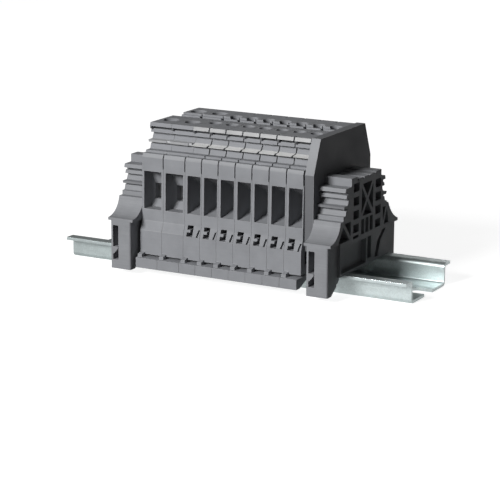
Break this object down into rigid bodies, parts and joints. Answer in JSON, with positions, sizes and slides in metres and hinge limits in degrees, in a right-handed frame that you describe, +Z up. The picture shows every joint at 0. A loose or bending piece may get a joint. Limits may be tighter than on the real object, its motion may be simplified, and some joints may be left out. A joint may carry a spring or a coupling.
{
  "type": "junction block",
  "caption": "Rail-mounted junction block: feed-through screw terminals, an end cover and end clamps on a slotted top-hat rail.",
  "frame": {"origin": "centre of the rail's underside, midway along the rail", "axes": "+X along the rail towards the end cover, +Y across it towards the fixed hooks, +Z up"},
  "size_m": [0.127, 0.0505, 0.0504],
  "materials": {
    "rail_zinc": "galvanised",
    "clamp_plastic": "moulded",
    "housing_plastic": "moulded",
    "cover_plastic": "moulded",
    "contact_brass": "plain",
    "sleeve_steel": "zinc plated",
    "screw_steel": "zinc plated"
  },
  "bodies": {
    "block": {"rail": "rail_zinc", "end_clamp_left": "clamp_plastic", "end_clamp_right": "clamp_plastic", "end_cover": "cover_plastic", "terminal_1_housing": "housing_plastic", "terminal_1_contact_bar": "contact_brass", "terminal_2_housing": "housing_plastic", "terminal_2_contact_bar": "contact_brass", "terminal_3_housing": "housing_plastic", "terminal_3_contact_bar": "contact_brass", "terminal_4_housing": "housing_plastic", "terminal_4_contact_bar": "contact_brass", "terminal_5_housing": "housing_plastic", "terminal_5_contact_bar": "contact_brass", "terminal_6_housing": "housing_plastic", "terminal_6_contact_bar": "contact_brass", "terminal_7_housing": "housing_plastic", "terminal_7_contact_bar": "contact_brass", "terminal_8_housing": "housing_plastic", "terminal_8_contact_bar": "contact_brass", "terminal_9_housing": "housing_plastic", "terminal_9_contact_bar": "contact_brass"},
    "terminal_1_front_sleeve": {"terminal_1_front_sleeve": "sleeve_steel"},
    "terminal_1_front_screw": {"terminal_1_front_screw": "screw_steel"},
    "terminal_1_rear_sleeve": {"terminal_1_rear_sleeve": "sleeve_steel"},
    "terminal_1_rear_screw": {"terminal_1_rear_screw": "screw_steel"},
    "terminal_2_front_sleeve": {"terminal_2_front_sleeve": "sleeve_steel"},
    "terminal_2_front_screw": {"terminal_2_front_screw": "screw_steel"},
    "terminal_2_rear_sleeve": {"terminal_2_rear_sleeve": "sleeve_steel"},
    "terminal_2_rear_screw": {"terminal_2_rear_screw": "screw_steel"},
    "terminal_3_front_sleeve": {"terminal_3_front_sleeve": "sleeve_steel"},
    "terminal_3_front_screw": {"terminal_3_front_screw": "screw_steel"},
    "terminal_3_rear_sleeve": {"terminal_3_rear_sleeve": "sleeve_steel"},
    "terminal_3_rear_screw": {"terminal_3_rear_screw": "screw_steel"},
    "terminal_4_front_sleeve": {"terminal_4_front_sleeve": "sleeve_steel"},
    "terminal_4_front_screw": {"terminal_4_front_screw": "screw_steel"},
    "terminal_4_rear_sleeve": {"terminal_4_rear_sleeve": "sleeve_steel"},
    "terminal_4_rear_screw": {"terminal_4_rear_screw": "screw_steel"},
    "terminal_5_front_sleeve": {"terminal_5_front_sleeve": "sleeve_steel"},
    "terminal_5_front_screw": {"terminal_5_front_screw": "screw_steel"},
    "terminal_5_rear_sleeve": {"terminal_5_rear_sleeve": "sleeve_steel"},
    "terminal_5_rear_screw": {"terminal_5_rear_screw": "screw_steel"},
    "terminal_6_front_sleeve": {"terminal_6_front_sleeve": "sleeve_steel"},
    "terminal_6_front_screw": {"terminal_6_front_screw": "screw_steel"},
    "terminal_6_rear_sleeve": {"terminal_6_rear_sleeve": "sleeve_steel"},
    "terminal_6_rear_screw": {"terminal_6_rear_screw": "screw_steel"},
    "terminal_7_front_sleeve": {"terminal_7_front_sleeve": "sleeve_steel"},
    "terminal_7_front_screw": {"terminal_7_front_screw": "screw_steel"},
    "terminal_7_rear_sleeve": {"terminal_7_rear_sleeve": "sleeve_steel"},
    "terminal_7_rear_screw": {"terminal_7_rear_screw": "screw_steel"},
    "terminal_8_front_sleeve": {"terminal_8_front_sleeve": "sleeve_steel"},
    "terminal_8_front_screw": {"terminal_8_front_screw": "screw_steel"},
    "terminal_8_rear_sleeve": {"terminal_8_rear_sleeve": "sleeve_steel"},
    "terminal_8_rear_screw": {"terminal_8_rear_screw": "screw_steel"},
    "terminal_9_front_sleeve": {"terminal_9_front_sleeve": "sleeve_steel"},
    "terminal_9_front_screw": {"terminal_9_front_screw": "screw_steel"},
    "terminal_9_rear_sleeve": {"terminal_9_rear_sleeve": "sleeve_steel"},
    "terminal_9_rear_screw": {"terminal_9_rear_screw": "screw_steel"}
  },
  "joints": [
    {"name": "terminal_1_front_screw_turn", "type": "hinge", "parent": "block", "child": "terminal_1_front_screw", "pos_m": [-0.0267, -0.0092, 0.04], "axis": [0, 0, -1], "range_deg": [0, 2571.48]},
    {"name": "terminal_1_front_sleeve_lift", "type": "slide", "parent": "block", "child": "terminal_1_front_sleeve", "axis": [0, 0, 1], "range_m": [0, 0.005]},
    {"name": "terminal_1_rear_screw_turn", "type": "hinge", "parent": "block", "child": "terminal_1_rear_screw", "pos_m": [-0.0267, 0.0092, 0.04], "axis": [0, 0, -1], "range_deg": [0, 2571.48]},
    {"name": "terminal_1_rear_sleeve_lift", "type": "slide", "parent": "block", "child": "terminal_1_rear_sleeve", "axis": [0, 0, 1], "range_m": [0, 0.005]},
    {"name": "terminal_2_front_screw_turn", "type": "hinge", "parent": "block", "child": "terminal_2_front_screw", "pos_m": [-0.0185, -0.0092, 0.04], "axis": [0, 0, -1], "range_deg": [0, 2571.48]},
    {"name": "terminal_2_front_sleeve_lift", "type": "slide", "parent": "block", "child": "terminal_2_front_sleeve", "axis": [0, 0, 1], "range_m": [0, 0.005]},
    {"name": "terminal_2_rear_screw_turn", "type": "hinge", "parent": "block", "child": "terminal_2_rear_screw", "pos_m": [-0.0185, 0.0092, 0.04], "axis": [0, 0, -1], "range_deg": [0, 2571.48]},
    {"name": "terminal_2_rear_sleeve_lift", "type": "slide", "parent": "block", "child": "terminal_2_rear_sleeve", "axis": [0, 0, 1], "range_m": [0, 0.005]},
    {"name": "terminal_3_front_screw_turn", "type": "hinge", "parent": "block", "child": "terminal_3_front_screw", "pos_m": [-0.011, -0.007, 0.04], "axis": [0, 0, -1], "range_deg": [0, 3600.05]},
    {"name": "terminal_3_front_sleeve_lift", "type": "slide", "parent": "block", "child": "terminal_3_front_sleeve", "axis": [0, 0, 1], "range_m": [0, 0.005]},
    {"name": "terminal_3_rear_screw_turn", "type": "hinge", "parent": "block", "child": "terminal_3_rear_screw", "pos_m": [-0.011, 0.007, 0.04], "axis": [0, 0, -1], "range_deg": [0, 3600.05]},
    {"name": "terminal_3_rear_sleeve_lift", "type": "slide", "parent": "block", "child": "terminal_3_rear_sleeve", "axis": [0, 0, 1], "range_m": [0, 0.005]},
    {"name": "terminal_4_front_screw_turn", "type": "hinge", "parent": "block", "child": "terminal_4_front_screw", "pos_m": [-0.0048, -0.007, 0.04], "axis": [0, 0, -1], "range_deg": [0, 3600.05]},
    {"name": "terminal_4_front_sleeve_lift", "type": "slide", "parent": "block", "child": "terminal_4_front_sleeve", "axis": [0, 0, 1], "range_m": [0, 0.005]},
    {"name": "terminal_4_rear_screw_turn", "type": "hinge", "parent": "block", "child": "terminal_4_rear_screw", "pos_m": [-0.0048, 0.007, 0.04], "axis": [0, 0, -1], "range_deg": [0, 3600.05]},
    {"name": "terminal_4_rear_sleeve_lift", "type": "slide", "parent": "block", "child": "terminal_4_rear_sleeve", "axis": [0, 0, 1], "range_m": [0, 0.005]},
    {"name": "terminal_5_front_screw_turn", "type": "hinge", "parent": "block", "child": "terminal_5_front_screw", "pos_m": [0.0014, -0.007, 0.04], "axis": [0, 0, -1], "range_deg": [0, 3600.05]},
    {"name": "terminal_5_front_sleeve_lift", "type": "slide", "parent": "block", "child": "terminal_5_front_sleeve", "axis": [0, 0, 1], "range_m": [0, 0.005]},
    {"name": "terminal_5_rear_screw_turn", "type": "hinge", "parent": "block", "child": "terminal_5_rear_screw", "pos_m": [0.0014, 0.007, 0.04], "axis": [0, 0, -1], "range_deg": [0, 3600.05]},
    {"name": "terminal_5_rear_sleeve_lift", "type": "slide", "parent": "block", "child": "terminal_5_rear_sleeve", "axis": [0, 0, 1], "range_m": [0, 0.005]},
    {"name": "terminal_6_front_screw_turn", "type": "hinge", "parent": "block", "child": "terminal_6_front_screw", "pos_m": [0.0076, -0.007, 0.04], "axis": [0, 0, -1], "range_deg": [0, 3600.05]},
    {"name": "terminal_6_front_sleeve_lift", "type": "slide", "parent": "block", "child": "terminal_6_front_sleeve", "axis": [0, 0, 1], "range_m": [0, 0.005]},
    {"name": "terminal_6_rear_screw_turn", "type": "hinge", "parent": "block", "child": "terminal_6_rear_screw", "pos_m": [0.0076, 0.007, 0.04], "axis": [0, 0, -1], "range_deg": [0, 3600.05]},
    {"name": "terminal_6_rear_sleeve_lift", "type": "slide", "parent": "block", "child": "terminal_6_rear_sleeve", "axis": [0, 0, 1], "range_m": [0, 0.005]},
    {"name": "terminal_7_front_screw_turn", "type": "hinge", "parent": "block", "child": "terminal_7_front_screw", "pos_m": [0.0138, -0.007, 0.04], "axis": [0, 0, -1], "range_deg": [0, 3600.05]},
    {"name": "terminal_7_front_sleeve_lift", "type": "slide", "parent": "block", "child": "terminal_7_front_sleeve", "axis": [0, 0, 1], "range_m": [0, 0.005]},
    {"name": "terminal_7_rear_screw_turn", "type": "hinge", "parent": "block", "child": "terminal_7_rear_screw", "pos_m": [0.0138, 0.007, 0.04], "axis": [0, 0, -1], "range_deg": [0, 3600.05]},
    {"name": "terminal_7_rear_sleeve_lift", "type": "slide", "parent": "block", "child": "terminal_7_rear_sleeve", "axis": [0, 0, 1], "range_m": [0, 0.005]},
    {"name": "terminal_8_front_screw_turn", "type": "hinge", "parent": "block", "child": "terminal_8_front_screw", "pos_m": [0.02, -0.007, 0.04], "axis": [0, 0, -1], "range_deg": [0, 3600.05]},
    {"name": "terminal_8_front_sleeve_lift", "type": "slide", "parent": "block", "child": "terminal_8_front_sleeve", "axis": [0, 0, 1], "range_m": [0, 0.005]},
    {"name": "terminal_8_rear_screw_turn", "type": "hinge", "parent": "block", "child": "terminal_8_rear_screw", "pos_m": [0.02, 0.007, 0.04], "axis": [0, 0, -1], "range_deg": [0, 3600.05]},
    {"name": "terminal_8_rear_sleeve_lift", "type": "slide", "parent": "block", "child": "terminal_8_rear_sleeve", "axis": [0, 0, 1], "range_m": [0, 0.005]},
    {"name": "terminal_9_front_screw_turn", "type": "hinge", "parent": "block", "child": "terminal_9_front_screw", "pos_m": [0.0262, -0.007, 0.04], "axis": [0, 0, -1], "range_deg": [0, 3600.05]},
    {"name": "terminal_9_front_sleeve_lift", "type": "slide", "parent": "block", "child": "terminal_9_front_sleeve", "axis": [0, 0, 1], "range_m": [0, 0.005]},
    {"name": "terminal_9_rear_screw_turn", "type": "hinge", "parent": "block", "child": "terminal_9_rear_screw", "pos_m": [0.0262, 0.007, 0.04], "axis": [0, 0, -1], "range_deg": [0, 3600.05]},
    {"name": "terminal_9_rear_sleeve_lift", "type": "slide", "parent": "block", "child": "terminal_9_rear_sleeve", "axis": [0, 0, 1], "range_m": [0, 0.005]}
  ],
  "couplings": [
    {"joint": "terminal_1_front_screw_turn", "follows": "terminal_1_front_sleeve_lift", "rad_per_m": 8976},
    {"joint": "terminal_1_rear_screw_turn", "follows": "terminal_1_rear_sleeve_lift", "rad_per_m": 8976},
    {"joint": "terminal_2_front_screw_turn", "follows": "terminal_2_front_sleeve_lift", "rad_per_m": 8976},
    {"joint": "terminal_2_rear_screw_turn", "follows": "terminal_2_rear_sleeve_lift", "rad_per_m": 8976},
    {"joint": "terminal_3_front_screw_turn", "follows": "terminal_3_front_sleeve_lift", "rad_per_m": 12566},
    {"joint": "terminal_3_rear_screw_turn", "follows": "terminal_3_rear_sleeve_lift", "rad_per_m": 12566},
    {"joint": "terminal_4_front_screw_turn", "follows": "terminal_4_front_sleeve_lift", "rad_per_m": 12566},
    {"joint": "terminal_4_rear_screw_turn", "follows": "terminal_4_rear_sleeve_lift", "rad_per_m": 12566},
    {"joint": "terminal_5_front_screw_turn", "follows": "terminal_5_front_sleeve_lift", "rad_per_m": 12566},
    {"joint": "terminal_5_rear_screw_turn", "follows": "terminal_5_rear_sleeve_lift", "rad_per_m": 12566},
    {"joint": "terminal_6_front_screw_turn", "follows": "terminal_6_front_sleeve_lift", "rad_per_m": 12566},
    {"joint": "terminal_6_rear_screw_turn", "follows": "terminal_6_rear_sleeve_lift", "rad_per_m": 12566},
    {"joint": "terminal_7_front_screw_turn", "follows": "terminal_7_front_sleeve_lift", "rad_per_m": 12566},
    {"joint": "terminal_7_rear_screw_turn", "follows": "terminal_7_rear_sleeve_lift", "rad_per_m": 12566},
    {"joint": "terminal_8_front_screw_turn", "follows": "terminal_8_front_sleeve_lift", "rad_per_m": 12566},
    {"joint": "terminal_8_rear_screw_turn", "follows": "terminal_8_rear_sleeve_lift", "rad_per_m": 12566},
    {"joint": "terminal_9_front_screw_turn", "follows": "terminal_9_front_sleeve_lift", "rad_per_m": 12566},
    {"joint": "terminal_9_rear_screw_turn", "follows": "terminal_9_rear_sleeve_lift", "rad_per_m": 12566}
  ]
}
